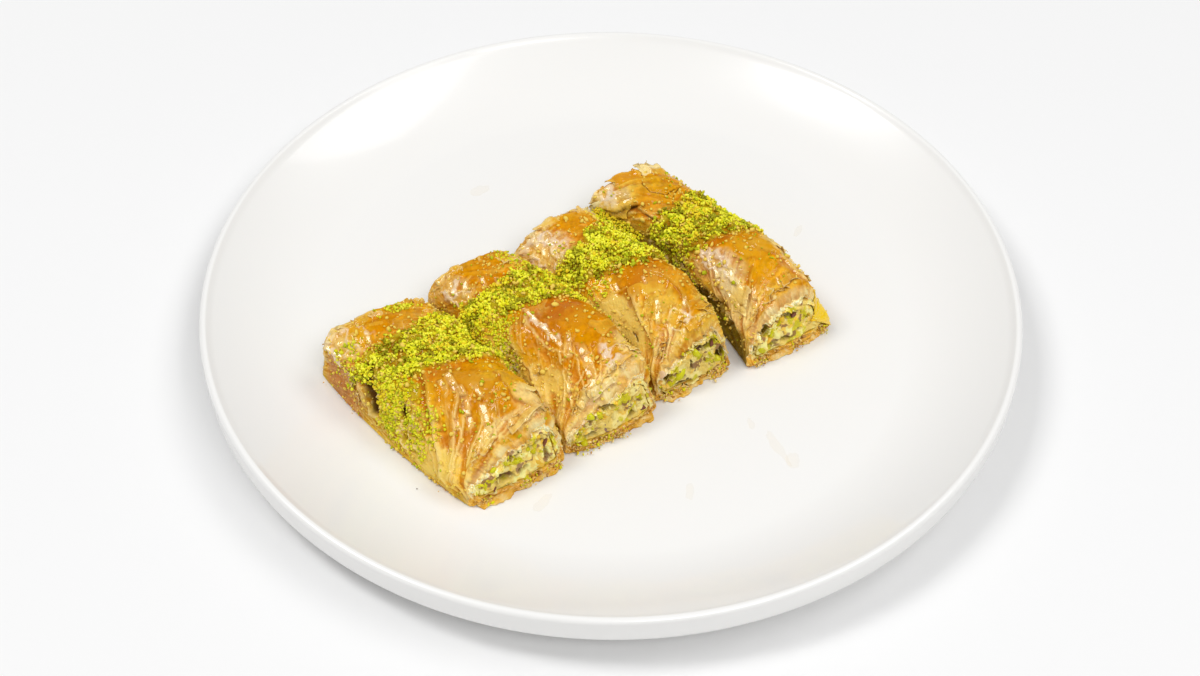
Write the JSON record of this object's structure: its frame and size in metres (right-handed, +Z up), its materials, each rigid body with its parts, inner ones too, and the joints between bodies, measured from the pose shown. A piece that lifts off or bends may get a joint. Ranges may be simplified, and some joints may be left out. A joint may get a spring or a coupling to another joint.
{
  "type": "curled pistachio baklava on a plate",
  "caption": "Curled pistachio baklava: syrup-glazed pastry rolls with a ground nut topping, in a row on a round white coupe plate.",
  "frame": {"origin": "centre of the plate's foot, on the surface that it stands on", "axes": "+X along the row of rolls, +Y along each roll from its front cut to its back cut, +Z up"},
  "size_m": [0.26, 0.26, 0.0315],
  "materials": {
    "porcelain": "white glaze, glossy",
    "pastry": "baked pastry sheets soaked in syrup, glossy",
    "pistachio": "ground and chopped pistachio, crumbly"
  },
  "bodies": {
    "root": {"plate": "porcelain", "pastry_1": "pastry", "pastry_2": "pastry", "pastry_3": "pastry", "pastry_4": "pastry", "filling_1": "pistachio", "filling_2": "pistachio", "filling_3": "pistachio", "filling_4": "pistachio"}
  },
  "joints": []
}
